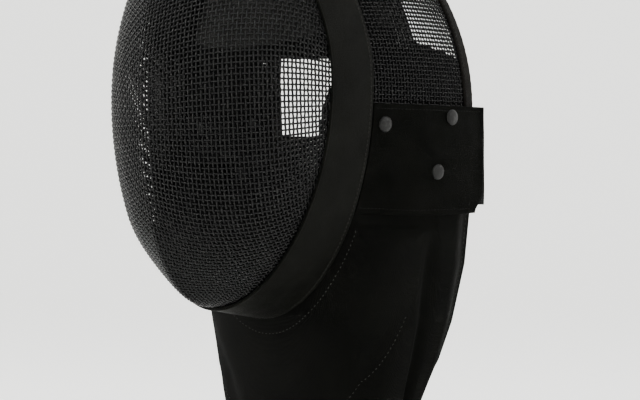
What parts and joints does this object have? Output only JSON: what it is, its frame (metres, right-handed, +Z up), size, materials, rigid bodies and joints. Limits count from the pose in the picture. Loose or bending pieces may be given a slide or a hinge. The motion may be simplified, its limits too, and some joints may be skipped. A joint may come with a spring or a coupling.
{
  "type": "fencing mask",
  "caption": "Fencing mask with a ridged wire face, wire crown, leather band, cloth bib, riveted side panels, back strap and nape pad.",
  "frame": {"origin": "where the top of the wearer's head bears on the brow pad, in the middle plane", "axes": "+Z up, -Y the way the wearer looks, +X the wearer's left"},
  "size_m": [0.2214, 0.296, 0.424],
  "materials": {
    "wire": "black coated woven steel wire, slightly worn",
    "band_leather": "matte black leather with fine grain",
    "trim_leather": "thin black leather binding",
    "panel_leather": "matte black leather with soft creases",
    "bib_cloth": "dense matte black cloth with stitched seams",
    "elastic": "ribbed black elastic",
    "pad_cloth": "soft black lining cloth over foam",
    "brow_cloth": "soft dark grey lining cloth over foam",
    "rivet_metal": "blackened domed metal, worn at the crown"
  },
  "bodies": {
    "root": {"face_mesh": "wire", "crown_mesh": "wire", "face_band": "band_leather", "rear_trim": "trim_leather", "side_panel_left": "panel_leather", "side_panel_right": "panel_leather", "bib": "bib_cloth", "back_strap": "elastic", "tongue": "trim_leather", "nape_pad": "pad_cloth", "brow_pad": "brow_cloth", "chin_pad": "pad_cloth", "lining_left": "pad_cloth", "lining_right": "pad_cloth", "rivet_left_front": "rivet_metal", "rivet_left_rear": "rivet_metal", "rivet_left_lower": "rivet_metal", "rivet_right_front": "rivet_metal", "rivet_right_rear": "rivet_metal", "rivet_right_lower": "rivet_metal"}
  },
  "joints": []
}
